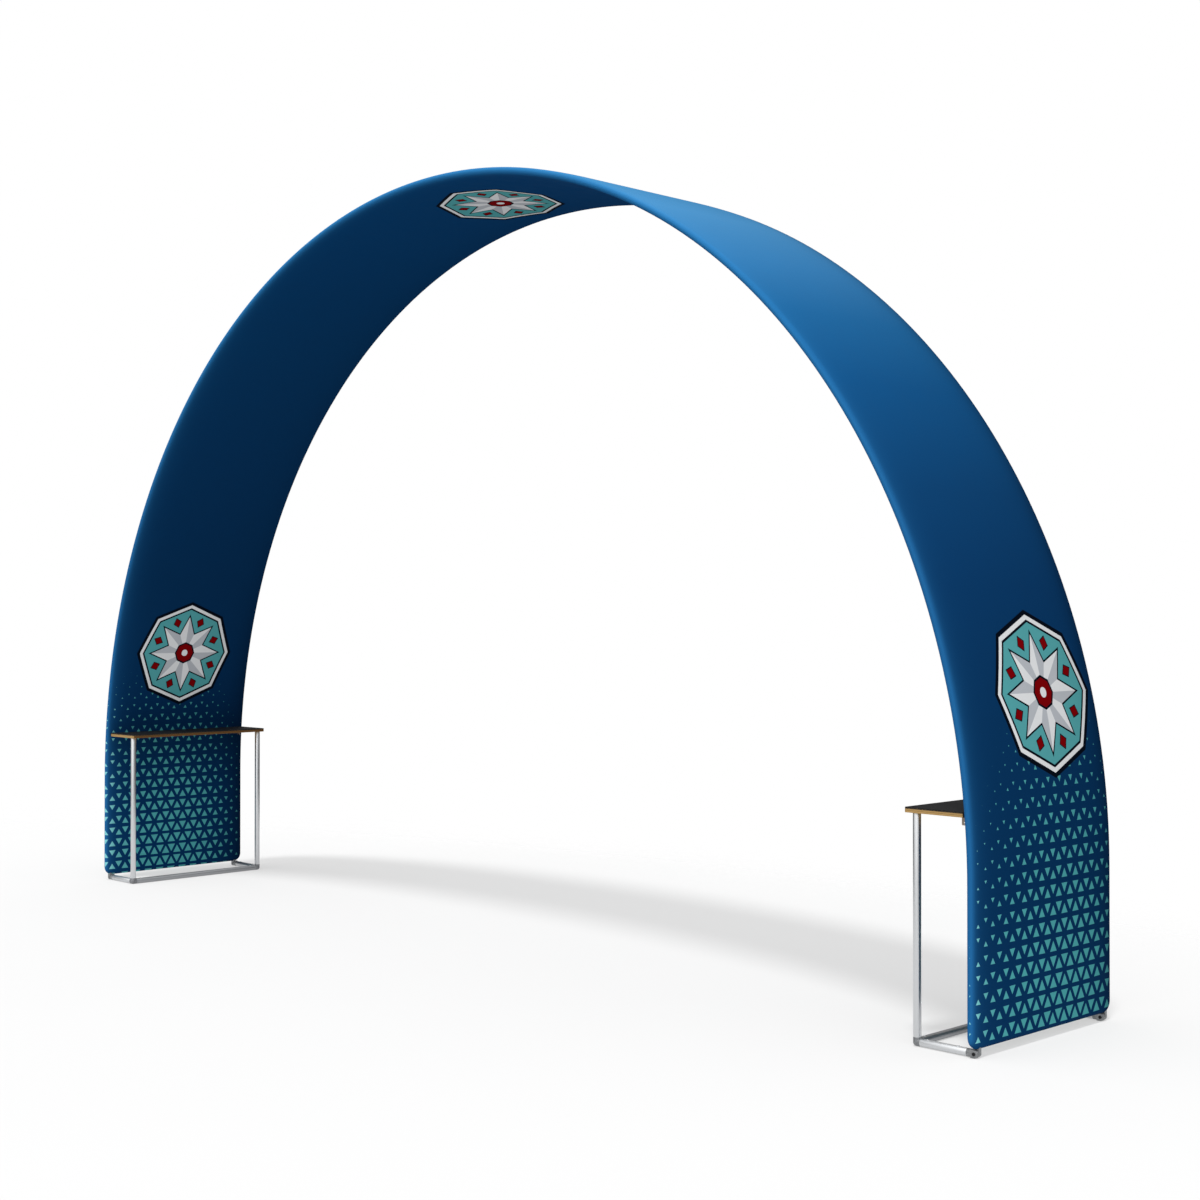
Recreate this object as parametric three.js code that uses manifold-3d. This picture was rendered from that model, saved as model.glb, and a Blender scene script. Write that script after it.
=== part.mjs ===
// A fabric arch display: a stretch sleeve over a bent tube frame, with a counter at each foot.
// Millimetres, +Z up. X runs across the span, Y through the depth, and -Y is the front.
// The origin lies on the floor at the middle of the footprint.
import * as THREE from "three";
import { LoftGeometry } from "three/addons/geometries/LoftGeometry.js";
import { mergeVertices } from "three/addons/utils/BufferGeometryUtils.js";
import Module from "manifold-3d";

const wasm = await Module();
wasm.setup();

// ---- Driving dimensions ----

const GAP = 0.3; // between two pieces that meet
const BITE = 1; // how far the parts of one solid run into each other
const QUARTER = Math.PI / 2;

// The arch: straight legs up to the springing, then a half circle
const ARCH_RADIUS = 3031.2; // of the frame tubes' centre line
const SPRING_Z = 599;
const RAIL_Y = 451; // the front and back tubes' centre lines
const FOOT_Z = 47; // centre line of the tube inside the bottom hem
const BEND_RADIUS = 30; // of the corner between a rail and a foot tube
const BEND_Z = FOOT_Z + BEND_RADIUS;
const STUB = 16; // straight end of a rail past its corner bend

// The cloth sleeve
const SLEEVE_HALF = 16.5; // half thickness over the tubes
const CLOTH = 1;
const CROWN = 3.5; // how far the cloth swells between the tubes
const CROWN_RUN = 90; // the width over which it swells
const CROWN_ROWS = [0, 0.4, 1]; // shares of that width

// The hidden tubes clear the cloth's flat facets
const RAIL_RADIUS = SLEEVE_HALF - CLOTH - 1;
const FOOT_TUBE_RADIUS = RAIL_RADIUS - 2 * GAP;
const SPREADER_RADIUS = 12.5;
const SPREADER_ANGLES = [18, 54, 90, 126, 162]; // degrees round the half circle

// Facets
const ARC_STEPS = 40;
const CORNER_STEPS = 3;
const EDGE_STEPS = 6;
const RAIL_SIDES = 12;
const TUBE_SIDES = 16;
const SMALL_SIDES = 12;

// The counter's frame, drawn for the right foot
const TUBE_RADIUS = 15;
const TUBE_BORE = 13.5;
const SPIGOT_RADIUS = 13;
const UPRIGHT_X = 2777.4;
const UPRIGHT_Y = 426.2;
const SOCKET = 18; // from a corner's centre to the end of its collar
const SPIGOT_REACH = 60; // from a corner's centre to a spigot's tip
const BUTTON_AT = 46; // from a corner's centre to a snap button
const BUTTON_RADIUS = 4;
const BUTTON_TOP = TUBE_RADIUS + 1.3; // from the tube's centre line
const BUTTON_ROOT = SPIGOT_RADIUS - 3;

// The foot joint: a lug and a post lapped on one bolt
const LUG_X = 2997; // where the floor tube ends
const NECK_END = ARCH_RADIUS - LUG_X; // from the bolt to the tube's end
const LUG_SPIGOT = 50;
const LUG_BUTTON = 39; // from the tube's end
const LAP_THICK = 14;
const POST_HALF = 13;
const BOLT_RADIUS = 4;
const BOLT_HEAD_RADIUS = 6.5;
const BOLT_HEAD = 4;
const HEX_RADIUS = 2.5; // across its flats
const HEX_DEPTH = 2.5;

// The counter's table
const TABLE_Z = 850; // underside
const TABLE_INNER_X = 2736;
const TABLE_OUTER_X = 2991.5;
const TABLE_HALF = 450;
const TABLE_CORNER = 10;
const CORE_THICK = 16;
const TOP_THICK = 3.5;
const EDGE_THICK = 4;

// The angle bracket under one outer corner of each table
const BRACKET_X = 2983;
const BRACKET_WIDTH = 20;
const BRACKET_DROP = 30;
const BRACKET_THICK = 3;

// ---- Materials ----

const material = (color, roughness, metalness) =>
  new THREE.MeshStandardMaterial({ color, roughness, metalness });

const PRINTED_CLOTH = material(0x0d4a80, 0.8, 0);
const FRAME_TUBE = material(0xb4b7ba, 0.45, 0.9);
const COUNTER_TUBE = material(0xc8cacc, 0.35, 0.9);
const CAST_CORNER = material(0x63666a, 0.5, 0.6);
const CAST_LUG = material(0x84878a, 0.5, 0.6);
const BLACK_STEEL = material(0x1c1c1e, 0.4, 0.8);
const PLYWOOD = material(0xb08a55, 0.6, 0);
const LAMINATE = material(0x2a2a2c, 0.5, 0);
const EDGING = material(0x161618, 0.7, 0);
const BRACKET_STEEL = material(0x8a8078, 0.5, 0.7);

// ---- Solids ----

// A closed geometry as a solid that can be joined and cut.
function solidOf(geometry) {
  const bare = new THREE.BufferGeometry();
  bare.setAttribute("position", geometry.getAttribute("position"));
  bare.setIndex(geometry.index);
  const merged = mergeVertices(bare);
  const index = merged.index.array;
  const triVerts = [];
  for (let i = 0; i < index.length; i += 3) {
    const [a, b, c] = [index[i], index[i + 1], index[i + 2]];
    if (a !== b && b !== c && c !== a) {
      triVerts.push(a, b, c);
    }
  }
  return new wasm.Manifold(
    new wasm.Mesh({
      numProp: 3,
      vertProperties: merged.attributes.position.array,
      triVerts: new Uint32Array(triVerts),
    }),
  );
}

// A solid as a flat-shaded geometry.
function geometryOf(solid) {
  const { vertProperties, triVerts } = solid.getMesh();
  const indexed = new THREE.BufferGeometry();
  indexed.setAttribute("position", new THREE.BufferAttribute(vertProperties, 3));
  indexed.setIndex(new THREE.BufferAttribute(triVerts, 1));
  const geometry = indexed.toNonIndexed();
  geometry.computeVertexNormals();
  return geometry;
}

function joined(parts) {
  return parts.reduce((whole, part) => whole.add(part));
}

function meshOf(name, solid, look) {
  const mesh = new THREE.Mesh(geometryOf(solid), look);
  mesh.name = name;
  return mesh;
}

// The radius of a polygon's corners whose flats lie at the given radius.
const overFlats = (radius, sides) => radius / Math.cos(Math.PI / sides);

// A round bar along Y, one flat facing down.
function barAlongY(radius, from, to, sides = TUBE_SIDES) {
  const corner = overFlats(radius, sides);
  const bar = new THREE.CylinderGeometry(
    corner,
    corner,
    to - from,
    sides,
    1,
    false,
    Math.PI / sides,
  );
  return bar.translate(0, (from + to) / 2, 0);
}

// A counter tube along Y with snap-button holes in its upper wall.
function tubeAlongY(from, to, holes) {
  const outer = overFlats(TUBE_RADIUS, TUBE_SIDES);
  const inner = overFlats(TUBE_BORE, TUBE_SIDES);
  const wall = [
    [inner, from],
    [outer, from],
    [outer, to],
    [inner, to],
    [inner, from],
  ].map(([radius, y]) => new THREE.Vector2(radius, y));
  const tube = new THREE.LatheGeometry(wall, TUBE_SIDES, Math.PI / TUBE_SIDES);
  const drills = holes.map((y) => solidOf(buttonAt(y, BUTTON_RADIUS + GAP)));
  return drills.reduce((left, drill) => left.subtract(drill), solidOf(tube));
}

// A button, or the drill for its hole, standing up from a bar along Y.
function buttonAt(y, radius) {
  const height = BUTTON_TOP - BUTTON_ROOT;
  const button = new THREE.CylinderGeometry(radius, radius, height, SMALL_SIDES);
  return button.rotateX(QUARTER).translate(0, y, BUTTON_ROOT + height / 2);
}

// An outline in X and Z pushed back from one Y to another.
function plateAlongY(outline, from, to) {
  const plate = new THREE.ExtrudeGeometry(outline, {
    depth: to - from,
    bevelEnabled: false,
    curveSegments: SMALL_SIDES,
  });
  return plate.rotateX(QUARTER).translate(0, to, 0);
}

// ---- The arch's centre line ----

// Equal shares from 0 to 1.
const shares = (steps) => Array.from({ length: steps + 1 }, (_, i) => i / steps);

// Heights of the rows up a leg: the round of the hem, the corner bend, the start of the swell.
function legHeights(half) {
  const hem = shares(CORNER_STEPS).map((t) => FOOT_Z - half * Math.cos(t * QUARTER));
  const bend = shares(CORNER_STEPS).map((t) => BEND_Z - BEND_RADIUS * Math.cos(t * QUARTER));
  const crown = CROWN_ROWS.map((share) => BEND_Z + share * CROWN_RUN);
  return [...hem, ...bend.slice(1), ...crown.slice(1)];
}

// Rows along the arch from the left foot to the right: a point, and the outward direction there.
function archRows(half) {
  const leg = (side) => (z) => ({ x: side * ARCH_RADIUS, z, outX: side, outZ: 0 });
  const heights = legHeights(half);
  const arc = shares(ARC_STEPS).map((t) => {
    const outX = -Math.cos(t * Math.PI);
    const outZ = Math.sin(t * Math.PI);
    return { x: ARCH_RADIUS * outX, z: SPRING_Z + ARCH_RADIUS * outZ, outX, outZ };
  });
  return [...heights.map(leg(-1)), ...arc, ...heights.map(leg(1)).reverse()];
}

// ---- The cloth sleeve ----

// 0 at a tube, easing to 1 at the end of the run.
function swell(distance) {
  const share = Math.min(distance / CROWN_RUN, 1);
  return share * (2 - share);
}

// The closed section of one skin of the sleeve at one row of the arch.
function sleeveRing(row, half) {
  const drop = Math.max(0, FOOT_Z - row.z);
  const thick = Math.sqrt(Math.max(0, half ** 2 - drop ** 2));
  const below = Math.max(0, BEND_Z - row.z);
  const edgeY = (n) => {
    const reach = BEND_RADIUS + Math.sqrt(Math.max(0, half ** 2 - n ** 2));
    return RAIL_Y - BEND_RADIUS + Math.sqrt(Math.max(0, reach ** 2 - below ** 2));
  };
  const rise = swell(Math.max(0, row.z - BEND_Z));
  const face = (side) =>
    CROWN_ROWS.map((share) => {
      const inset = share * CROWN_RUN;
      return [edgeY(thick) - inset, side * (thick + CROWN * swell(inset) * rise)];
    });
  const edge = shares(EDGE_STEPS)
    .slice(1, -1)
    .map((t) => -thick * Math.cos(t * Math.PI))
    .map((n) => [edgeY(n), n]);
  const backHalf = [...face(-1).reverse(), ...edge, ...face(1)];
  const frontHalf = backHalf.map(([y, n]) => [-y, -n]);
  return [...backHalf, ...frontHalf].map(
    ([y, n]) => new THREE.Vector3(row.x + n * row.outX, y, row.z + n * row.outZ),
  );
}

function sleeveSkin(half) {
  return solidOf(new LoftGeometry(archRows(half).map((row) => sleeveRing(row, half))));
}

function sleeve(postHoles) {
  const shell = sleeveSkin(SLEEVE_HALF).subtract(sleeveSkin(SLEEVE_HALF - CLOTH));
  const solid = postHoles.reduce((left, hole) => left.subtract(hole), shell);
  return meshOf("fabric_sleeve", solid, PRINTED_CLOTH);
}

// ---- The frame inside the sleeve ----

// A rail's centre line, which turns in towards the foot tubes at both ends.
class RailCurve extends THREE.Curve {
  constructor(side) {
    super();
    const bend = shares(CORNER_STEPS).map((t) => [
      RAIL_Y - BEND_RADIUS + BEND_RADIUS * Math.sin(t * QUARTER),
      BEND_Z - BEND_RADIUS * Math.cos(t * QUARTER),
    ]);
    const leg = [[RAIL_Y - BEND_RADIUS - STUB, FOOT_Z], ...bend];
    const foot = (end) => leg.map(([y, z]) => new THREE.Vector3(end * ARCH_RADIUS, side * y, z));
    const arc = shares(ARC_STEPS).map(
      (t) =>
        new THREE.Vector3(
          -ARCH_RADIUS * Math.cos(t * Math.PI),
          side * RAIL_Y,
          SPRING_Z + ARCH_RADIUS * Math.sin(t * Math.PI),
        ),
    );
    this.points = [...foot(-1), ...arc, ...foot(1).reverse()];
  }

  get steps() {
    return this.points.length - 1;
  }

  getPoint(t) {
    const place = t * this.steps;
    const before = Math.min(Math.floor(place), this.steps - 1);
    const [a, b] = this.points.slice(before, before + 2);
    return a.clone().lerp(b, place - before);
  }

  // Halfway between the directions of the two stretches that meet at a point.
  getTangent(t) {
    const nearby = 0.01 / this.steps;
    const start = this.getPoint(Math.max(0, t - nearby));
    return this.getPoint(Math.min(1, t + nearby)).sub(start).normalize();
  }

  // Steps follow the points, so a short bend gets as many as a long one.
  getUtoTmapping(u) {
    return u;
  }
}

function railSolid(side, radius) {
  const path = new RailCurve(side);
  const section = new THREE.Shape().absarc(0, 0, radius, 0, 2 * Math.PI);
  const rail = new THREE.ExtrudeGeometry(section, {
    steps: path.steps,
    curveSegments: RAIL_SIDES / 2,
    extrudePath: path,
  });
  return solidOf(rail);
}

function footTube(name, side) {
  const end = RAIL_Y - BEND_RADIUS - STUB - GAP;
  const tube = barAlongY(FOOT_TUBE_RADIUS, -end, end, RAIL_SIDES);
  return meshOf(name, solidOf(tube.translate(side * ARCH_RADIUS, 0, FOOT_Z)), FRAME_TUBE);
}

function spreader(name, angle) {
  const end = RAIL_Y - RAIL_RADIUS - GAP;
  const turn = THREE.MathUtils.degToRad(angle);
  const bar = barAlongY(SPREADER_RADIUS, -end, end, RAIL_SIDES);
  bar.translate(ARCH_RADIUS * Math.cos(turn), 0, SPRING_Z + ARCH_RADIUS * Math.sin(turn));
  return meshOf(name, solidOf(bar), FRAME_TUBE);
}

function frame() {
  const group = new THREE.Group();
  group.add(meshOf("rail_front", railSolid(-1, RAIL_RADIUS), FRAME_TUBE));
  group.add(meshOf("rail_back", railSolid(1, RAIL_RADIUS), FRAME_TUBE));
  group.add(footTube("foot_tube_left", -1));
  group.add(footTube("foot_tube_right", 1));
  SPREADER_ANGLES.forEach((angle, i) => group.add(spreader(`spreader_${i + 1}`, angle)));
  return group;
}

// ---- The counter's tubes and corners ----

// Turns that take an arm along Y, its button up, to its place at a corner; end is -1 at the front.
const ARM_TURNS = {
  in: (end) => new THREE.Matrix4().makeRotationZ(end < 0 ? 0 : Math.PI),
  out: () => new THREE.Matrix4().makeRotationZ(-QUARTER),
  up: (end) => ARM_TURNS.in(-end).multiply(new THREE.Matrix4().makeRotationX(QUARTER)),
};

const placed = (solid, matrix) => solid.transform(matrix.toArray());

const cornerPlace = (end) =>
  new THREE.Matrix4().makeTranslation(UPRIGHT_X, end * UPRIGHT_Y, TUBE_RADIUS);

// One arm of a corner: its collar, the spigot in the tube, and the snap button.
function cornerArm() {
  const collar = solidOf(barAlongY(TUBE_RADIUS, 0, SOCKET));
  const spigot = solidOf(barAlongY(SPIGOT_RADIUS, SOCKET - BITE, SPIGOT_REACH));
  const button = solidOf(buttonAt(BUTTON_AT, BUTTON_RADIUS));
  return joined([collar, spigot, button]);
}

function corner(name, end) {
  const arm = cornerArm();
  const arms = Object.values(ARM_TURNS).map((turn) => placed(arm, turn(end)));
  const ball = solidOf(new THREE.SphereGeometry(TUBE_RADIUS, TUBE_SIDES, TUBE_SIDES / 2));
  return meshOf(name, placed(joined([ball, ...arms]), cornerPlace(end)), CAST_CORNER);
}

function tube(name, end, arm, length, holes) {
  const along = tubeAlongY(SOCKET + GAP, length, holes);
  const matrix = cornerPlace(end).multiply(ARM_TURNS[arm](end));
  return meshOf(name, placed(along, matrix), COUNTER_TUBE);
}

const upright = (name, end) =>
  tube(name, end, "up", TABLE_Z - TUBE_RADIUS - GAP, [BUTTON_AT]);

function floorTubeAcross(name, end) {
  const reach = LUG_X - UPRIGHT_X;
  return tube(name, end, "out", reach - GAP, [BUTTON_AT, reach - LUG_BUTTON]);
}

function floorTubeBetween(name) {
  const span = 2 * UPRIGHT_Y;
  return tube(name, -1, "in", span - SOCKET - GAP, [BUTTON_AT, span - BUTTON_AT]);
}

// ---- The foot joint ----

const jointPlace = (end) =>
  new THREE.Matrix4().makeTranslation(ARCH_RADIUS, end * UPRIGHT_Y, TUBE_RADIUS);

const boltDrill = () =>
  solidOf(barAlongY(BOLT_RADIUS + GAP, -2 * LAP_THICK, 2 * LAP_THICK, SMALL_SIDES));

// The lug on the end of a floor tube: spigot and button, round neck, and half lap.
function lug(name, end) {
  const along = new THREE.Matrix4().makeRotationZ(QUARTER);
  const neck = solidOf(barAlongY(TUBE_RADIUS, TUBE_RADIUS, NECK_END));
  const spigot = solidOf(barAlongY(SPIGOT_RADIUS, NECK_END - BITE, NECK_END + LUG_SPIGOT));
  const button = solidOf(buttonAt(NECK_END + LUG_BUTTON, BUTTON_RADIUS));
  const outline = new THREE.Shape();
  outline.absarc(0, 0, TUBE_RADIUS, -QUARTER, QUARTER);
  outline.lineTo(-TUBE_RADIUS - BITE, TUBE_RADIUS);
  outline.lineTo(-TUBE_RADIUS - BITE, -TUBE_RADIUS);
  const lap = solidOf(plateAlongY(outline, -TUBE_RADIUS, -GAP / 2)).subtract(boltDrill());
  const neckParts = [neck, spigot, button].map((part) => placed(part, along));
  return meshOf(name, placed(joined([lap, ...neckParts]), jointPlace(end)), CAST_LUG);
}

// The post that stands on the bolt and saddles the frame's corner; grow widens it for its hole.
function postSolid(end, grow) {
  const half = POST_HALF + grow;
  const outline = new THREE.Shape();
  outline.absarc(0, 0, half, Math.PI, 2 * Math.PI);
  outline.lineTo(half, FOOT_Z - TUBE_RADIUS);
  outline.lineTo(-half, FOOT_Z - TUBE_RADIUS);
  const plate = plateAlongY(outline, GAP / 2 - grow, LAP_THICK + grow);
  return placed(solidOf(plate), jointPlace(end));
}

function post(name, end) {
  const drill = placed(boltDrill(), jointPlace(end));
  const saddle = railSolid(end, RAIL_RADIUS + 2 * GAP);
  return meshOf(name, postSolid(end, 0).subtract(drill).subtract(saddle), CAST_LUG);
}

// A hex-socket button bolt, its head on the lug's outer face.
function bolt(name, end) {
  const seat = -TUBE_RADIUS - GAP;
  const top = seat - BOLT_HEAD;
  const head = solidOf(barAlongY(BOLT_HEAD_RADIUS, top, seat));
  const shank = solidOf(barAlongY(BOLT_RADIUS, seat - BITE, LAP_THICK, SMALL_SIDES));
  const hex = solidOf(barAlongY(HEX_RADIUS, top - BITE, top + HEX_DEPTH, 6));
  const solid = head.add(shank).subtract(hex);
  return meshOf(name, placed(solid, jointPlace(end)), BLACK_STEEL);
}

// ---- The counter's table ----

// The table's outline from above, rounded at its two free corners.
function tableOutline() {
  const outline = new THREE.Shape();
  const arcX = TABLE_INNER_X + TABLE_CORNER;
  const arcY = TABLE_HALF - TABLE_CORNER;
  outline.moveTo(TABLE_OUTER_X, -TABLE_HALF);
  outline.lineTo(TABLE_OUTER_X, TABLE_HALF);
  outline.absarc(arcX, arcY, TABLE_CORNER, QUARTER, Math.PI);
  outline.absarc(arcX, -arcY, TABLE_CORNER, Math.PI, 3 * QUARTER);
  return outline;
}

function board(name, bottom, thick, look) {
  const geometry = new THREE.ExtrudeGeometry(tableOutline(), {
    depth: thick,
    bevelEnabled: false,
    curveSegments: 2,
  });
  return meshOf(name, solidOf(geometry.translate(0, 0, bottom)), look);
}

function tableEdge(name) {
  const height = CORE_THICK + GAP + TOP_THICK;
  const strip = new THREE.BoxGeometry(EDGE_THICK, 2 * TABLE_HALF, height);
  strip.translate(TABLE_OUTER_X + GAP + EDGE_THICK / 2, 0, TABLE_Z + height / 2);
  return meshOf(name, solidOf(strip), EDGING);
}

// An angle under the table's front outer corner, one leg against the wood and one hanging.
function bracket(name) {
  const top = TABLE_Z - GAP;
  const front = -UPRIGHT_Y - BRACKET_THICK / 2;
  const left = BRACKET_X - BRACKET_WIDTH / 2;
  const profile = new THREE.Shape();
  profile.moveTo(front, top);
  profile.lineTo(front, top - BRACKET_DROP);
  profile.lineTo(front + BRACKET_THICK, top - BRACKET_DROP);
  profile.lineTo(front + BRACKET_THICK, top - BRACKET_THICK);
  profile.lineTo(front + BRACKET_WIDTH, top - BRACKET_THICK);
  profile.lineTo(front + BRACKET_WIDTH, top);
  const angle = new THREE.ExtrudeGeometry(profile, { depth: BRACKET_WIDTH, bevelEnabled: false });
  angle.rotateX(QUARTER).rotateZ(QUARTER).translate(left, 0, 0);
  return meshOf(name, solidOf(angle), BRACKET_STEEL);
}

// ---- One foot's counter, and the same turned half round for the other foot ----

function counter(side) {
  const group = new THREE.Group();
  const sideName = side > 0 ? "right" : "left";
  for (const end of [-1, 1]) {
    const place = `${sideName}_${side * end < 0 ? "front" : "back"}`;
    group.add(corner(`corner_${place}`, end));
    group.add(upright(`upright_${place}`, end));
    group.add(floorTubeAcross(`floor_tube_${place}`, end));
    group.add(lug(`lug_${place}`, end));
    group.add(post(`post_${place}`, end));
    group.add(bolt(`bolt_${place}`, end));
  }
  group.add(floorTubeBetween(`floor_tube_${sideName}`));
  group.add(board(`table_core_${sideName}`, TABLE_Z, CORE_THICK, PLYWOOD));
  group.add(board(`table_top_${sideName}`, TABLE_Z + CORE_THICK + GAP, TOP_THICK, LAMINATE));
  group.add(tableEdge(`table_edge_${sideName}`));
  group.add(bracket(`bracket_${sideName}`));
  group.rotation.z = side > 0 ? 0 : Math.PI;
  return group;
}

// ---- The whole arch ----

function postHoles() {
  const halfTurn = new THREE.Matrix4().makeRotationZ(Math.PI);
  const right = [-1, 1].map((end) => postSolid(end, GAP));
  return [...right, ...right.map((hole) => placed(hole, halfTurn))];
}

const arch = new THREE.Group();
arch.add(sleeve(postHoles()), frame(), counter(1), counter(-1));

export default arch;
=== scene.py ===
# A fabric arch display: the looks of its printed sleeve, its tube frame and its two counters.
# Metres, +Z up. X runs across the span, and -Y is the front.
import math

import bmesh
import bpy
from mathutils import Matrix, Vector


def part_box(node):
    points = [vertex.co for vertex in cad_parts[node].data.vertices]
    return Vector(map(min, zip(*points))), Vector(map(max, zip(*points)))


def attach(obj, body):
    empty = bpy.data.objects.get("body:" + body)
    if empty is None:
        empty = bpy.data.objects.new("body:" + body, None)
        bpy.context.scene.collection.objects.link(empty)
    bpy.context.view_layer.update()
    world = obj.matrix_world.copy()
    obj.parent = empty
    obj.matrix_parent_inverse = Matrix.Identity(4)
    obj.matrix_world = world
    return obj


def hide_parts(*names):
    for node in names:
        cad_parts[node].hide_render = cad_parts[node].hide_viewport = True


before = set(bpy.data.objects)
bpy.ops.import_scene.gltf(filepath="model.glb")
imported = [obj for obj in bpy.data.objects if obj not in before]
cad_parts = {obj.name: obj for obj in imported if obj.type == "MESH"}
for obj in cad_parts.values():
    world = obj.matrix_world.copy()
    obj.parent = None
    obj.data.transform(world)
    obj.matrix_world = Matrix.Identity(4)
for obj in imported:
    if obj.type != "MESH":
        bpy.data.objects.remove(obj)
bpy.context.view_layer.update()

MM = 0.001
QUARTER = math.pi / 2
SIDES = ("left", "right")
ENDS = ("front", "back")

# ---- Measures read off the frame ----


def box_of(node):
    low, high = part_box(node)
    return Vector(low), Vector(high)


SLEEVE_LOW, SLEEVE_HIGH = box_of("fabric_sleeve")
_, RAIL_HIGH = box_of("rail_back")
FOOT_LOW, FOOT_HIGH = box_of("foot_tube_right")

ARCH_RADIUS = (FOOT_LOW.x + FOOT_HIGH.x) / 2  # of the rails' centre line
FOOT_Z = (FOOT_LOW.z + FOOT_HIGH.z) / 2  # centre line of the tube in the hem
RAIL_RADIUS = RAIL_HIGH.x - ARCH_RADIUS
SPRING_Z = RAIL_HIGH.z - RAIL_RADIUS - ARCH_RADIUS  # where the legs start to lean in
CLOTH_HALF = FOOT_Z - SLEEVE_LOW.z  # half the sleeve's thickness over a tube
RAIL_Y = SLEEVE_HIGH.y - CLOTH_HALF
CROWN = SLEEVE_HIGH.x - ARCH_RADIUS - CLOTH_HALF  # how far the cloth swells between tubes

CROWN_RUN = 90 * MM  # the width over which it swells
BEND_RADIUS = 30 * MM  # of the frame's corner in the hem
BEND_Z = FOOT_Z + BEND_RADIUS
CLOTH = 1 * MM
HALF_ARCH = SPRING_Z + ARCH_RADIUS * QUARTER  # from the floor to the crown, along the cloth

# ---- Modelling by hand ----

TRUE_TO = 0.999  # how closely a direction has to be met


def deselect_all():
    bpy.ops.object.select_all(action="DESELECT")


def take_up(piece):
    """Makes a piece the only selected and the active one."""
    deselect_all()
    piece.select_set(True)
    bpy.context.view_layer.objects.active = piece


def newest(name):
    """Names the piece that was just added."""
    piece = bpy.context.active_object
    piece.name = piece.data.name = name
    return piece


def set_down(piece):
    """Puts a piece's place, turn and size into its mesh."""
    take_up(piece)
    bpy.ops.object.transform_apply(location=True, rotation=True, scale=True)
    return piece


def add_bar(name, start, end, radius, sides=48, ends="NGON"):
    """A round bar between two points."""
    start, end = Vector(start), Vector(end)
    run = end - start
    deselect_all()
    bpy.ops.mesh.primitive_cylinder_add(
        vertices=sides,
        radius=radius,
        depth=run.length,
        end_fill_type=ends,
        location=(start + end) / 2,
        rotation=run.to_track_quat("Z", "Y").to_euler(),
    )
    return set_down(newest(name))


def add_block(name, low, high):
    """A plain block between two corners."""
    low, high = Vector(low), Vector(high)
    deselect_all()
    bpy.ops.mesh.primitive_cube_add(size=1, location=(low + high) / 2)
    block = newest(name)
    block.scale = high - low
    return set_down(block)


def add_ball(name, centre, radius, segments=32):
    deselect_all()
    bpy.ops.mesh.primitive_uv_sphere_add(
        segments=segments, ring_count=segments // 2, radius=radius, location=centre
    )
    return set_down(newest(name))


def everything(_):
    """Takes every face or edge."""
    return True


def shape(piece, operator, faces=None, edges=None, **settings):
    """Runs one edit-mode operator on only the wanted faces or edges of a piece."""
    take_up(piece)
    bpy.ops.object.mode_set(mode="EDIT")
    bpy.ops.mesh.select_mode(type="FACE" if faces else "EDGE")
    bpy.ops.mesh.select_all(action="DESELECT")
    mesh = bmesh.from_edit_mesh(piece.data)
    for part in mesh.faces if faces else mesh.edges:
        part.select = (faces or edges)(part)
    mesh.select_flush_mode()
    bmesh.update_edit_mesh(piece.data)
    operator(**settings)
    bpy.ops.object.mode_set(mode="OBJECT")
    return piece


def draw_out(piece, way, **wanted):
    """Extrudes the wanted faces or edges along a way."""
    extrude = bpy.ops.mesh.extrude_region_move
    return shape(piece, extrude, **wanted, TRANSFORM_OT_translate={"value": way})


def soften(piece, wanted, width, segments=2):
    """Rounds the wanted edges."""
    return shape(
        piece,
        bpy.ops.mesh.bevel,
        edges=wanted,
        offset=width,
        offset_type="OFFSET",
        segments=segments,
        profile=0.5,
    )


def at_end(axis, place, slack=0.05 * MM):
    """Edges that lie wholly in one plane across an axis."""
    return lambda edge: all(abs(v.co[axis] - place) < slack for v in edge.verts)


def along(axis, *tests):
    """Edges that run along an axis and pass each test at their middle."""

    def wanted(edge):
        a, b = (v.co for v in edge.verts)
        run = b - a
        centre = (a + b) / 2
        straight = abs(run[axis]) > TRUE_TO * run.length > 0
        return straight and all(test(centre) for test in tests)

    return wanted


def on_side(side, wanted):
    """The wanted edges on one side of the arch only, -1 for left and 1 for right."""
    return lambda edge: wanted(edge) and edge.verts[0].co.x * side > 0


def sharp(limit=60):
    """Edges where two faces meet at more than so many degrees."""
    turn = math.radians(limit)
    return lambda edge: len(edge.link_faces) == 2 and edge.calc_face_angle(0) > turn


def finish_with(piece, kind, **settings):
    """Adds one modifier and applies it."""
    take_up(piece)
    modifier = piece.modifiers.new(kind.title(), kind)
    for setting, value in settings.items():
        setattr(modifier, setting, value)
    bpy.ops.object.modifier_apply(modifier=modifier.name)
    return piece


def cut(piece, tool):
    """Cuts a tool's shape out of a piece; the tool is used up."""
    finish_with(piece, "BOOLEAN", operation="DIFFERENCE", solver="EXACT", object=tool)
    bpy.data.objects.remove(tool)
    return piece


def weld(piece, *parts):
    """Joins solid parts into one casting."""
    for part in parts:
        finish_with(piece, "BOOLEAN", operation="UNION", solver="EXACT", object=part)
        bpy.data.objects.remove(part)
    return piece


def smooth(piece, angle=35):
    take_up(piece)
    bpy.ops.object.shade_smooth_by_angle(angle=math.radians(angle))
    return piece


def face_outwards(piece):
    """Merges doubled points and turns every face outwards."""
    shape(piece, bpy.ops.mesh.remove_doubles, faces=everything, threshold=0.002 * MM)
    return shape(piece, bpy.ops.mesh.normals_make_consistent, faces=everything, inside=False)


def copy_of(piece, name, place):
    """A copy with its own mesh, moved by a matrix; a mirrored one is turned right side out."""
    twin = piece.copy()
    twin.data = piece.data.copy()
    twin.name = twin.data.name = name
    bpy.context.collection.objects.link(twin)
    twin.data.transform(place)
    if place.determinant() < 0:
        face_outwards(twin)
    return twin


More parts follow.
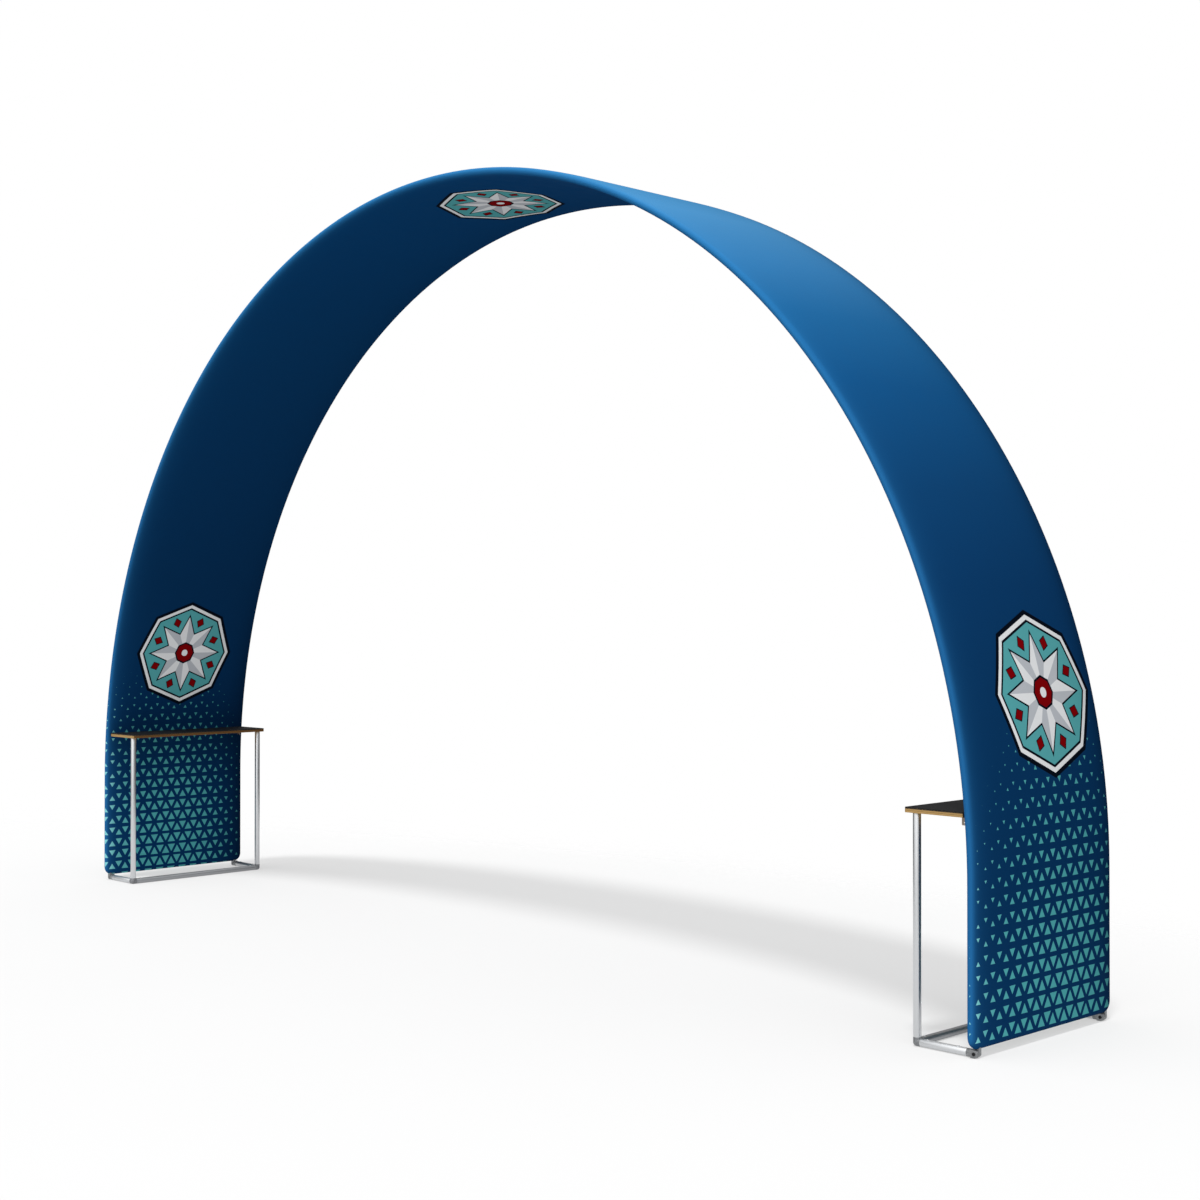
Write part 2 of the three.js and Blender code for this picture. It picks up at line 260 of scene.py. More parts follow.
# ---- Charts: numbers worked out over a surface ----

MIX_FIRST, MIX_SECOND, MIX_RESULT = 6, 7, 2  # the colour sockets of a Mix node


class Chart:
    """Works out number fields and colours for one material."""

    def __init__(self, tree):
        self.tree = tree

    def add(self, kind, **settings):
        node = self.tree.nodes.new("ShaderNode" + kind)
        for setting, value in settings.items():
            setattr(node, setting, value)
        return node

    def feed(self, socket, value):
        if isinstance(value, bpy.types.NodeSocket):
            self.tree.links.new(value, socket)
        elif value is not None:
            socket.default_value = value

    def made(self, kind, inputs, output=0, **settings):
        """Adds a node, feeds its sockets by name or number, and gives one output."""
        node = self.add(kind, **settings)
        for socket, value in inputs.items():
            self.feed(node.inputs[socket], value)
        return node.outputs[output]

    def calc(self, operation, *values):
        return self.made("Math", dict(enumerate(values)), operation=operation)

    def plus(self, a, b):
        return self.calc("ADD", a, b)

    def minus(self, a, b):
        return self.calc("SUBTRACT", a, b)

    def times(self, a, b):
        return self.calc("MULTIPLY", a, b)

    def over(self, a, b):
        return self.calc("DIVIDE", a, b)

    def square(self, a):
        return self.times(a, a)

    def size(self, a):
        return self.calc("ABSOLUTE", a)

    def least(self, a, b):
        return self.calc("MINIMUM", a, b)

    def wander(self, field, low, spread):
        """A number that rises from low by a spread as a field goes from 0 to 1."""
        return self.plus(low, self.times(field, spread))

    def blend_number(self, share, start, end):
        return self.wander(share, start, end - start)

    def dying(self, distance, run):
        """1 at no distance, dying away over a run."""
        return self.calc("EXPONENT", self.times(distance, -1 / run))

    def strengthen(self, colour, factor):
        """A colour made deeper or paler by a factor."""
        return self.made("VectorMath", {0: colour, "Scale": factor}, operation="SCALE")

    def ramp(self, value, start, end):
        """0 at start, easing to 1 at end."""
        inputs = {0: value, 1: start, 2: end}
        return self.made("MapRange", inputs, interpolation_type="SMOOTHSTEP")

    def inside(self, value, edge, blur):
        """1 where a value is under an edge, with a narrow blur."""
        return self.ramp(value, edge + blur, edge - blur)

    def blend(self, share, first, second, how="MIX"):
        inputs = {0: share, MIX_FIRST: first, MIX_SECOND: second}
        return self.made("Mix", inputs, MIX_RESULT, data_type="RGBA", blend_type=how)

    def grain(self, place, scale=1.0, detail=2.0, roughness=0.6, dimensions="3D"):
        inputs = {"Vector": place, "Scale": scale, "Detail": detail, "Roughness": roughness}
        return self.made("TexNoise", inputs, "Fac", noise_dimensions=dimensions)

    def stretched(self, place, scale):
        return self.made("Mapping", {"Vector": place, "Scale": scale})

    def object_place(self):
        return self.add("TexCoord").outputs["Object"]

    def split(self, vector):
        node = self.add("SeparateXYZ")
        self.feed(node.inputs[0], vector)
        return node.outputs

    def bumps(self, height, distance, strength, below=None):
        inputs = {"Strength": strength, "Distance": distance, "Height": height, "Normal": below}
        return self.made("Bump", inputs)

    def coat(self, shader, colour, roughness, relief):
        """Feeds a surface its colour, its roughness and its relief."""
        self.feed(shader.inputs["Base Color"], colour)
        self.feed(shader.inputs["Roughness"], roughness)
        self.feed(shader.inputs["Normal"], relief)


def tone(red, green, blue):
    """A screen colour from 0 to 255 as light."""

    def light(level):
        share = level / 255
        return share / 12.92 if share <= 0.04045 else ((share + 0.055) / 1.055) ** 2.4

    return (light(red), light(green), light(blue), 1.0)


def new_finish(name, **sockets):
    """A material with its plain settings; returns it with its chart and shader."""
    finish = bpy.data.materials.new(name)
    finish.use_nodes = True
    tree = finish.node_tree
    shader = tree.nodes["Principled BSDF"]
    for socket, value in sockets.items():
        shader.inputs[socket.replace("_", " ")].default_value = value
    return finish, Chart(tree), shader


# ---- The printed cloth ----

# how the ground is graded: height up the leg, then the dye there
INSIDE_DYES = (
    (0.6, tone(4, 42, 79)),
    (1.8, tone(5, 43, 79)),
    (2.6, tone(6, 48, 87)),
    (3.4, tone(6, 52, 93)),
    (4.6, tone(5, 55, 99)),
)
OUTSIDE_DYES = (
    (0.6, tone(4, 43, 79)),
    (1.2, tone(6, 46, 84)),
    (1.7, tone(7, 50, 91)),
    (2.1, tone(10, 58, 101)),
    (2.6, tone(14, 72, 120)),
    (3.0, tone(25, 88, 137)),
    (3.4, tone(45, 107, 156)),
    (3.9, tone(61, 122, 168)),
    (4.6, tone(52, 115, 158)),
)
# painted highlight: the lighter blue where the front light falls on the front edge, low and high
# on the leg
PAINTED_HIGHLIGHT_LOW, PAINTED_HIGHLIGHT_HIGH = tone(29, 88, 137), tone(37, 106, 160)
TEAL = tone(66, 144, 148)
PAINTED_HIGHLIGHT_TEAL = tone(137, 206, 209)  # of the triangles in the painted highlight on the front edge
INK = tone(4, 10, 21)
WHITE = tone(208, 210, 212)
SHADE_WHITE = tone(168, 172, 178)
BADGE_TEAL = tone(76, 148, 152)
RED = tone(112, 1, 5)
TUBE_PALE, TUBE_DEEP = tone(212, 214, 216), tone(194, 196, 198)
PLY_PALE, PLY_DEEP, PLY_GLUE = tone(175, 144, 95), tone(147, 116, 67), tone(97, 70, 35)
VENEER_PALE, VENEER_DEEP = tone(190, 158, 108), tone(156, 120, 74)
LAMINATE_PALE, LAMINATE_DEEP = tone(31, 31, 32), tone(22, 22, 23)
EDGING_PALE, EDGING_DEEP = tone(26, 26, 28), tone(12, 12, 13)
LONG_EDGE_SHADE = tone(150, 130, 107)  # painted shade on a board's long edges, the ones that face along X

TRIANGLE_SIDE = 77.3 * MM
TRIANGLE_ROW = 67 * MM
TRIANGLE_BLUR = 0.012  # the soft rim of a triangle, as a share of a row
LAST_ROW = 1.6  # no triangle is printed above this height
FAR_HEM = 462 * MM  # nor past this line on the edge where a face's print ends
HEM_BLUR = 4 * MM
FADE_TAIL, FADE_OUT = 0.0036, 0.012  # how softly the triangles run out to nothing
HALVES_BLUR = 20 * MM  # between the front and the back half of that fading

HIGHLIGHT_RUN, HIGHLIGHT_SHARE = 14 * MM, 0.6  # the painted highlight along the front edge, where the front light falls
GLOW_RUN, GLOW_FADES, CROWN_GLOW = 55 * MM, (1.0, 4.2), 0.06  # the wider painted highlight beside it
HIGHLIGHT_TURNS = (1.5, 3.5)  # heights between which the painted highlight goes from its low to its high blue
HIGHLIGHT_MOST = 0.92  # the most of the painted highlight's blue that the ground takes
PAINTED_HIGHLIGHT_TEAL_GAIN, PAINTED_HIGHLIGHT_TEAL_MOST = 1.8, 0.62  # the same for the triangles
BACK_SHADE_TURNS = (0.5, 2.2)  # heights between which the painted shade at the back edge changes its depth
BACK_SHADE_EDGE = 20 * MM  # the painted shade at the back edge gets no deeper nearer than this
DYE_EVEN = 0.95  # the share of the dye that is the same all over
WALE, COURSE = 0.9 * MM, 0.7 * MM  # a stitch of the knit, across and along
PULLS = (5.0, 0.8, 1.0)  # how long the soft pulls in the stretched cloth are

BADGE_BLUR = 0.6 * MM
RIDGE_BLUR = 0.004  # between the pale and the shaded half of a ray
RAY_SLOPE = 1 / math.tan(math.pi / 8)
NOTCH_AT = 205 * MM  # the diamonds' middles, out from the star's
DIAMOND_SLOPE = 1.2


def triangle_field(chart, across, rise, first_row, size):
    """Rows of alternate triangles, each drawn in from its neighbours to the wanted size."""
    up = chart.over(chart.minus(rise, first_row), TRIANGLE_ROW)
    half_up = chart.times(up, 0.5)
    side = chart.over(across, TRIANGLE_SIDE)
    families = (up, chart.plus(half_up, side), chart.minus(half_up, side))
    gaps = [chart.calc("PINGPONG", family, 0.5) for family in families]
    nearest = chart.least(chart.least(gaps[0], gaps[1]), gaps[2])
    # a full triangle's middle lies a third of a row in from its sides
    edge = chart.over(chart.minus(1.0, size), 3.0)
    return chart.ramp(chart.minus(nearest, edge), 0.0, TRIANGLE_BLUR)


def triangle_size(
    chart, across, rise, start, slope, curve, spread, spread_slope, centre, front_share
):
    """How large the triangles are, from 0 to 1.

    start, slope and curve give the size up the print's centre line. spread and spread_slope
    shrink it to both sides, with front_share of that towards the front.
    """
    rise = chart.least(rise, LAST_ROW)
    climb = chart.wander(rise, slope, curve)
    height = chart.wander(rise, start, climb)
    aside = chart.minus(across, centre)
    fall = chart.times(chart.square(aside), chart.wander(rise, spread, spread_slope))
    behind = chart.ramp(aside, -HALVES_BLUR, HALVES_BLUR)
    fall = chart.times(fall, chart.blend_number(behind, front_share, 1.0))
    bare = chart.minus(height, fall)
    tail = chart.calc("SQRT", chart.plus(chart.square(bare), FADE_TAIL))
    return chart.minus(chart.times(chart.plus(bare, tail), 0.5), FADE_OUT)


def star_badge(chart, ground, x, y):
    """An eight-sided patch with an eight-point quilt star, laid over a ground colour."""
    eighth = math.pi / 4
    reach = chart.calc("SQRT", chart.plus(chart.square(x), chart.square(y)))
    angle = chart.plus(chart.calc("ARCTAN2", y, x), eighth / 2 + 2 * math.pi)
    aside = chart.minus(chart.calc("MODULO", angle, eighth), eighth / 2)
    fold = chart.size(aside)
    out = chart.times(reach, chart.calc("COSINE", fold))
    off = chart.times(reach, chart.calc("SINE", fold))
    ray = chart.plus(out, chart.times(off, RAY_SLOPE))
    # the patch has a corner where a ray of the star points
    turned = chart.minus(eighth / 2, fold)
    flat = chart.times(reach, chart.calc("COSINE", turned))
    # diamonds lie in the notches between the rays
    notch_out = chart.size(chart.minus(flat, NOTCH_AT))
    notch_off = chart.times(reach, chart.calc("SINE", turned))
    diamond = chart.plus(notch_out, chart.times(notch_off, DIAMOND_SLOPE))
    star = chart.blend(chart.inside(aside, 0.0, RIDGE_BLUR), WHITE, SHADE_WHITE)
    # from the lowest up: what a layer's edge is measured on, the edge in mm, its paint
    layers = (
        (flat, 298, INK),
        (flat, 280, WHITE),
        (flat, 262, INK),
        (flat, 252, BADGE_TEAL),
        (diamond, 34, INK),
        (diamond, 27, RED),
        (ray, 245, INK),
        (ray, 226, star),
        (flat, 62, INK),
        (flat, 53, RED),
        (reach, 20, WHITE),
    )
    colour = ground
    for measure, edge, paint in layers:
        mask = chart.inside(measure, edge * MM, BADGE_BLUR)
        colour = chart.blend(mask, colour, paint)
    return colour


def dyed_ground(chart, rise, dyes):
    """The ground colour, graded up the leg from dye to dye."""
    bath = chart.add("ValToRGB")
    stops = bath.color_ramp.elements
    stops.remove(stops[1])
    for count, (height, dye) in enumerate(dyes):
        stop = stops[0] if count == 0 else stops.new(height / HALF_ARCH)
        stop.position = height / HALF_ARCH
        stop.color = dye
    chart.feed(bath.inputs[0], chart.over(rise, HALF_ARCH))
    return bath.outputs[0]


def painted_front_highlight(chart, across, rise, glow):
    """Painted highlight: how much of the lighter blue shows where the front light falls, most on
    the front edge, gone a hand's breadth in.
    """
    inwards = chart.plus(across, SLEEVE_HIGH.y)
    rim = chart.times(chart.dying(inwards, HIGHLIGHT_RUN), HIGHLIGHT_SHARE)
    strength = chart.blend_number(chart.ramp(rise, *GLOW_FADES), glow, CROWN_GLOW)
    return chart.plus(rim, chart.times(chart.dying(inwards, GLOW_RUN), strength))


def painted_back_shade(chart, across, slope, depth, run):
    """Painted shade: the cloth darkens from front to back, away from the front light, and most
    near the back edge.
    """
    inwards = chart.calc("MAXIMUM", chart.minus(SLEEVE_HIGH.y, across), BACK_SHADE_EDGE)
    edge = chart.times(chart.dying(inwards, run), depth)
    even = chart.minus(1.0, chart.times(across, slope))
    return chart.times(even, chart.minus(1.0, edge))


def spread_columns(chart, across, start, pull):
    """Draws the columns out more and more towards the front edge, from a place on."""
    past = chart.calc("MAXIMUM", chart.minus(start, across), 0.0)
    return chart.plus(across, chart.times(chart.square(past), pull))


def printed_cloth(
    name, sense, dyes, fade, columns, first_row, shift, badges, slope, back, glow
):
    """Stretch cloth with its printed panel, a painted highlight on the front edge and painted
    shade towards the back; sense turns the chart to face its own leg.
    """
    finish, chart, shader = new_finish(name, Roughness=0.75, Specular_IOR_Level=0.01)
    place = chart.add("UVMap", uv_map="Cloth").outputs[0]
    across, run, _ = chart.split(place)
    rise = chart.minus(HALF_ARCH, chart.size(run))
    facing = chart.times(chart.times(across, chart.calc("SIGN", run)), sense)
    size = triangle_size(chart, facing, rise, **fade)
    column = chart.minus(spread_columns(chart, facing, **columns), shift)
    triangles = triangle_field(chart, column, rise, first_row, size)
    triangles = chart.times(triangles, chart.ramp(facing, FAR_HEM, FAR_HEM - HEM_BLUR))
    # painted highlight where the front light falls on the front edge, over the ground and the
    # triangles
    lit = painted_front_highlight(chart, across, rise, glow)
    rim = chart.blend(chart.ramp(rise, *HIGHLIGHT_TURNS), PAINTED_HIGHLIGHT_LOW, PAINTED_HIGHLIGHT_HIGH)
    ground = chart.blend(chart.least(lit, HIGHLIGHT_MOST), dyed_ground(chart, rise, dyes), rim)
    teal_lit = chart.least(chart.times(lit, PAINTED_HIGHLIGHT_TEAL_GAIN), PAINTED_HIGHLIGHT_TEAL_MOST)
    colour = chart.blend(triangles, ground, chart.blend(teal_lit, TEAL, PAINTED_HIGHLIGHT_TEAL))
    for x, y, on_leg in badges:
        u, v = (facing, rise) if on_leg else (across, run)
        colour = star_badge(chart, colour, chart.minus(u, x), chart.minus(v, y))
    # painted shade towards the back, away from the front light; it darkens the print and the
    # badges alike
    depth = chart.blend_number(chart.ramp(rise, *BACK_SHADE_TURNS), back["foot"], back["top"])
    strength = painted_back_shade(chart, across, slope, depth, back["run"])
    cloudy = chart.grain(place, scale=9.0, detail=3.0, dimensions="2D")
    fuzz = chart.grain(place, scale=700.0, dimensions="2D")
    patchy = chart.wander(chart.plus(cloudy, fuzz), DYE_EVEN, 1 - DYE_EVEN)
    knit = chart.times(
        chart.calc("SINE", chart.times(across, 2 * math.pi / WALE)),
        chart.calc("SINE", chart.times(run, 2 * math.pi / COURSE)),
    )
    pulls = chart.grain(chart.stretched(place, PULLS), roughness=0.5, dimensions="2D")
    soft = chart.bumps(pulls, distance=4 * MM, strength=0.2)
    chart.coat(
        shader,
        chart.strengthen(colour, chart.times(strength, patchy)),
        chart.wander(cloudy, low=0.62, spread=0.2),
        chart.bumps(chart.plus(knit, fuzz), distance=0.05 * MM, strength=0.35, below=soft),
    )
    return finish


def make_cloth():
    """The sleeve's two faces; a badge gives its place across, its height or run, and on_leg."""
    inside = printed_cloth(
        "printed_cloth_inside",
        sense=-1,
        dyes=INSIDE_DYES,
        fade={
            "start": 0.69,
            "slope": -0.03,
            "curve": -0.355,
            "spread": 2.35,
            "spread_slope": -0.6888,
            "centre": 0.0,
            "front_share": 0.45,
        },
        columns={"start": -0.25, "pull": 0.31},
        first_row=51.3 * MM,
        shift=5.6 * MM,
        badges=((0.0, 1.35, True), (0.045, -0.07, False)),
        # slope and back set the painted shade towards the back edge
        slope=0.15,
        back={"foot": 0.75, "top": 0.12, "run": 100 * MM},
        # glow: strength of the painted highlight beside the front edge
        glow=0.36,
    )
    outside = printed_cloth(
        "printed_cloth_outside",
        sense=1,
        dyes=OUTSIDE_DYES,
        fade={
            "start": 0.686,
            "slope": -0.075,
            "curve": -0.2789,
            "spread": 3.1129,
            "spread_slope": 1.055,
            "centre": 0.2015,
            "front_share": 0.252,
        },
        columns={"start": -0.12, "pull": 0.215},
        first_row=42.3 * MM,
        shift=8.4 * MM,
        badges=((0.104, 1.28, True),),
        # slope and back set the painted shade towards the back edge
        slope=0.30,
        back={"foot": 0.62, "top": 0.62, "run": 45 * MM},
        # glow: strength of the painted highlight beside the front edge
        glow=0.27,
    )
    return inside, outside


# ---- The sleeve ----

HEM_STEPS = 6  # round the hem, and as many round the frame's corner bend
LEG_STEPS = 12  # up the straight of a leg
ARCH_STEPS = 168  # over the half circle
EDGE_STEPS = 12  # round the front or the back edge
NEAR_STEPS, FAR_STEPS = 6, 5  # from an edge over the swell, then on to a face's middle
POST_ROOM = 0.4 * MM  # round each post where it comes through the hem


def leg_heights():
    """Heights of the rows up a leg: the round hem, the corner bend, then even steps."""
    turns = [i / HEM_STEPS * QUARTER for i in range(HEM_STEPS + 1)]
    hem = [FOOT_Z - CLOTH_HALF * math.cos(turn) for turn in turns]
    bend = [BEND_Z - BEND_RADIUS * math.cos(turn) for turn in turns[1:]]
    straight = SPRING_Z - BEND_Z
    return hem + bend + [BEND_Z + i / LEG_STEPS * straight for i in range(1, LEG_STEPS)]


def arch_rows():
    """Places along the sleeve from the left foot to the right, each with its way outwards."""
    heights = leg_heights()
    rows = [(-ARCH_RADIUS, z, -1.0, 0.0, z - HALF_ARCH) for z in heights]
    for i in range(ARCH_STEPS + 1):
        turn = i / ARCH_STEPS * math.pi
        out_x, out_z = -math.cos(turn), math.sin(turn)
        x, z = ARCH_RADIUS * out_x, SPRING_Z + ARCH_RADIUS * out_z
        rows.append((x, z, out_x, out_z, ARCH_RADIUS * (turn - QUARTER)))
    return rows + [(ARCH_RADIUS, z, 1.0, 0.0, HALF_ARCH - z) for z in reversed(heights)]


def swell(distance):
    """The share of the full swell at a distance in from where it starts."""
    share = min(max(distance, 0.0) / CROWN_RUN, 1.0)
    return share * (2 - share)


def edge_reach(n, drop_to_bend):
    """How far out the round edge lies, at a height n off the sleeve's middle."""
    reach = BEND_RADIUS + math.sqrt(max(0.0, CLOTH_HALF**2 - n**2))
    return RAIL_Y - BEND_RADIUS + math.sqrt(max(0.0, reach**2 - drop_to_bend**2))


def face_insets():
    """Distances in from the edge to the middle of a face."""
    near = [i / NEAR_STEPS * CROWN_RUN for i in range(NEAR_STEPS + 1)]
    rest = RAIL_Y - CROWN_RUN
    return near + [CROWN_RUN + i / FAR_STEPS * rest for i in range(1, FAR_STEPS + 1)]


def section(z):
    """The closed section of the cloth at one row: offsets and chart places, front then back."""
    drop = max(0.0, FOOT_Z - z)
    thick = math.sqrt(max(0.0, CLOTH_HALF**2 - drop**2))
    below = max(0.0, BEND_Z - z)
    rise = swell(z - BEND_Z)
    corner = edge_reach(thick, below)
    insets = face_insets()
    scale = corner / RAIL_Y
    inner = [
        (corner - i * scale, -(thick + CROWN * swell(i) * rise), corner - i * scale)
        for i in reversed(insets)
    ]
    outer = [(y, -n, place) for y, n, place in reversed(inner)]
    arc = math.pi * CLOTH_HALF
    edge = []
    for i in range(1, EDGE_STEPS):
        n = -thick * math.cos(i / EDGE_STEPS * math.pi)
        share = min(i, EDGE_STEPS - i) / EDGE_STEPS
        edge.append((edge_reach(n, below), n, corner + share * arc))
    half = inner + edge + outer
    other = [(-y, -n, -place) for y, n, place in half]
    # the two halves share the middle of each face
    return half[:-1] + other[:-1], len(inner) - 1 + EDGE_STEPS // 2


def sleeve_mesh():
    """The sheet before it gets its thickness: rows along the arch, a closed girth in each."""
    mesh = bmesh.new()
    chart = mesh.loops.layers.uv.new("Cloth")
    rings = []
    for x, z, out_x, out_z, run in arch_rows():
        ring, fold = section(z)
        made = [mesh.verts.new((x + n * out_x, y, z + n * out_z)) for y, n, _ in ring]
        rings.append((made, ring, run))
    count = len(rings[0][0])
    for (low, low_ring, low_run), (high, high_ring, high_run) in zip(rings, rings[1:]):
        for i in range(count):
            j = (i + 1) % count
            face = mesh.faces.new((low[i], high[i], high[j], low[j]))
            face.material_index = 1 if fold <= i < fold + count // 2 else 0
            corners = (
                (low_ring[i][2], low_run),
                (high_ring[i][2], high_run),
                (high_ring[j][2], high_run),
                (low_ring[j][2], low_run),
            )
            for loop, place in zip(face.loops, corners):
                loop[chart].uv = place
    bmesh.ops.remove_doubles(mesh, verts=mesh.verts, dist=0.01 * MM)
    bmesh.ops.recalc_face_normals(mesh, faces=mesh.faces)
    data = bpy.data.meshes.new("arch_sleeve")
    mesh.to_mesh(data)
    mesh.free()
    return data


def make_sleeve(inside, outside):
    """One continuous sheet round the frame, with a hole in the hem for each post."""
    sleeve = bpy.data.objects.new("arch_sleeve", sleeve_mesh())
    bpy.context.collection.objects.link(sleeve)
    sleeve.data.materials.append(inside)
    sleeve.data.materials.append(outside)
    finish_with(sleeve, "SOLIDIFY", thickness=CLOTH, offset=-1, use_even_offset=True)
    room = Vector((1, 1, 1)) * POST_ROOM
    for side in SIDES:
        for end in ENDS:
            low, high = box_of(f"post_{side}_{end}")
            cut(sleeve, add_block("post_hole", low - room, high + room))
    smooth(sleeve, 60)
    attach(sleeve, "root")
    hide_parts("fabric_sleeve")


make_sleeve(*make_cloth())

# ---- The finishes of the counters ----

WOOD_LOW, WOOD_HIGH = box_of("table_core_right")
PLIES = 7.0
GLUE_LINE = 0.52  # share of the board's depth where the dark glue line lies
BACKING_FROM = 0.84  # and where its black backing sheet starts
PLY_FIBRE, PLY_PORES, VENEER_FIGURE = (130, 40, 2600), (900, 900, 500), (160, 6, 40)
RIB_PITCH = 2 * MM  # of the edging's ribs


def drawn_tube(name, light, dark, streaks, roughness, metal):
    """Drawn tube: fine streaks along its length and a few rubbed patches."""
    finish, chart, shader = new_finish(name, Metallic=metal, Roughness=roughness)
    place = chart.object_place()
    streak = chart.grain(chart.stretched(place, streaks), detail=3.0)
    rub = chart.grain(place, scale=14.0, detail=3.0)
    chart.coat(
        shader,
        chart.blend(streak, dark, light),
        chart.wander(chart.plus(streak, rub), low=roughness - 0.08, spread=0.09),
        chart.bumps(streak, distance=0.02 * MM, strength=0.4),
    )
    return finish


def cast_metal(name, light, dark, roughness, metal):
    """A die casting: a fine pebbled skin, rubbed pale here and there."""
    finish, chart, shader = new_finish(name, Metallic=metal, Roughness=roughness)
    place = chart.object_place()
    skin = chart.grain(place, scale=900.0, detail=3.0)
    patch = chart.grain(place, scale=60.0, roughness=0.5)
    wear = chart.ramp(chart.plus(skin, patch), start=0.8, end=1.3)
    chart.coat(
        shader,
        chart.blend(wear, dark, light),
        chart.wander(skin, low=roughness - 0.1, spread=0.2),
        chart.bumps(skin, distance=0.08 * MM, strength=0.5),
    )
    return finish


def plywood():
    """Layers seen on the edges, painted shade on the long edges, long grain on the underside."""
    finish, chart, shader = new_finish(
        "plywood_layers", Roughness=0.6, Specular_IOR_Level=0.15
    )
    place = chart.object_place()
    height = chart.split(place)[2]
    up = chart.over(chart.minus(height, WOOD_LOW.z), WOOD_HIGH.z - WOOD_LOW.z)
    layer = chart.calc("PINGPONG", chart.times(up, PLIES), 1.0)
    glue = chart.inside(chart.size(chart.minus(up, GLUE_LINE)), edge=0.05, blur=0.04)
    fibre = chart.grain(chart.stretched(place, PLY_FIBRE), detail=3.0)
    pores = chart.grain(chart.stretched(place, PLY_PORES))
    figure = chart.grain(chart.stretched(place, VENEER_FIGURE), detail=4.0)
    facing = chart.split(chart.add("NewGeometry").outputs["Normal"])
    shaded_long_edge = chart.ramp(chart.size(facing[0]), start=0.6, end=0.95)
    underside = chart.ramp(chart.size(facing[2]), start=0.6, end=0.9)
    edge = chart.blend(chart.ramp(layer, start=0.42, end=0.58), PLY_PALE, PLY_DEEP)
    edge = chart.blend(chart.times(glue, 0.7), edge, PLY_GLUE)
    dark_pores = chart.times(chart.ramp(pores, start=0.5, end=0.75), 0.4)
    edge = chart.blend(dark_pores, edge, PLY_DEEP)
    # painted shade: the long edges that face along X are darkened as if the light fell less on
    # them
    edge = chart.blend(shaded_long_edge, edge, LONG_EDGE_SHADE, "MULTIPLY")
    backing = chart.ramp(up, BACKING_FROM - 0.01, BACKING_FROM)
    edge = chart.blend(backing, edge, LAMINATE_PALE)
    face = chart.blend(chart.ramp(figure, start=0.35, end=0.7), VENEER_PALE, VENEER_DEEP)
    chart.coat(
        shader,
        chart.blend(underside, edge, face),
        chart.wander(fibre, low=0.5, spread=0.2),
        chart.bumps(fibre, distance=0.1 * MM, strength=0.4),
    )
    return finish


def laminate():
    """Black counter laminate with a fine stipple and faint dust."""
    finish, chart, shader = new_finish(
        "black_laminate", Roughness=0.5, Specular_IOR_Level=0.08
    )
    place = chart.object_place()
    stipple = chart.grain(place, scale=1100.0)
    dust = chart.grain(place, scale=7.0, detail=4.0, roughness=0.65)
    chart.coat(
        shader,
        chart.blend(chart.ramp(dust, start=0.3, end=0.8), LAMINATE_DEEP, LAMINATE_PALE),
        chart.wander(dust, low=0.42, spread=0.2),
        chart.bumps(stipple, distance=0.06 * MM, strength=0.5),
    )
    return finish


def edging():
    """A black ribbed strip at each board's end, against the sleeve."""
    finish, chart, shader = new_finish(
        "black_edging", Roughness=0.6, Specular_IOR_Level=0.15
    )
    place = chart.object_place()
    skin = chart.grain(place, scale=500.0, detail=3.0)
    height = chart.split(place)[2]
    rib = chart.calc("SINE", chart.times(height, 2 * math.pi / RIB_PITCH))
    chart.coat(
        shader,
        chart.blend(skin, EDGING_DEEP, EDGING_PALE),
        chart.wander(skin, low=0.5, spread=0.2),
        chart.bumps(chart.wander(rib, skin, 0.3), distance=0.15 * MM, strength=0.5),
    )
    return finish


# ---- The counters: the right one is made in place, the left one is its half turn ----

HALF_TURN = Matrix.Rotation(math.pi, 4, "Z")
MIRROR = Matrix.Scale(-1, 4, (0, 1, 0))
ALONG_X, ALONG_Y, ALONG_Z = Vector((1, 0, 0)), Vector((0, 1, 0)), Vector((0, 0, 1))

UPRIGHT_LOW, UPRIGHT_HIGH = box_of("upright_right_front")
CORNER_LOW, CORNER_HIGH = box_of("corner_right_front")
LUG_LOW, LUG_HIGH = box_of("lug_right_front")
SIDE_LOW, SIDE_HIGH = box_of("floor_tube_right_front")
FLOOR_LOW, FLOOR_HIGH = box_of("floor_tube_right")

TUBE_RADIUS = (UPRIGHT_HIGH.x - UPRIGHT_LOW.x) / 2
TUBE_WALL = 1.5 * MM
SPIGOT_RADIUS = 13 * MM
BUTTON_RADIUS = 4 * MM
BUTTON_TOP = LUG_HIGH.z - TUBE_RADIUS  # from a tube's centre line
BUTTON_ROOT = 10 * MM
BUTTON_SIDES = 24
GAP = 0.3 * MM
HIDDEN_LAP = 2 * MM  # how far a spigot runs back into its casting
BITE = 1 * MM  # how far a joined part or a cutting tool runs past a face
RIM_ROUND, COLLAR_ROUND, TIP_ROUND = 0.3 * MM, 0.5 * MM, 1 * MM
BUTTON_DOME = 1.2 * MM
BALL_PROUD = 0.15 * MM  # how far a corner's ball stands past its collars
CORNER = CORNER_LOW + Vector((TUBE_RADIUS, TUBE_RADIUS, TUBE_RADIUS))
SOCKET = SIDE_LOW.x - GAP - CORNER.x  # from a corner's centre to its collar's end
SPIGOT_REACH = CORNER_HIGH.x - CORNER.x
BUTTON_AT = SPIGOT_REACH - 14 * MM
PIVOT = Vector((ARCH_RADIUS, CORNER.y, TUBE_RADIUS))  # where a bolt holds a foot
TUBE_END = SIDE_HIGH.x + GAP  # where a side tube meets its lug
LUG_BUTTON_X = LUG_LOW.x + 11 * MM
NECK_LENGTH = PIVOT.x - TUBE_RADIUS - TUBE_END
LAP_SHIFT = Matrix.Translation((0, -2 * CORNER.y, 0))  # from a front joint to a back one
LAP_ROUND = 0.8 * MM
BOLT_HOLE, BOLT_HEAD, BOLT_SHANK = 4.3 * MM, 6.5 * MM, 4 * MM  # radii
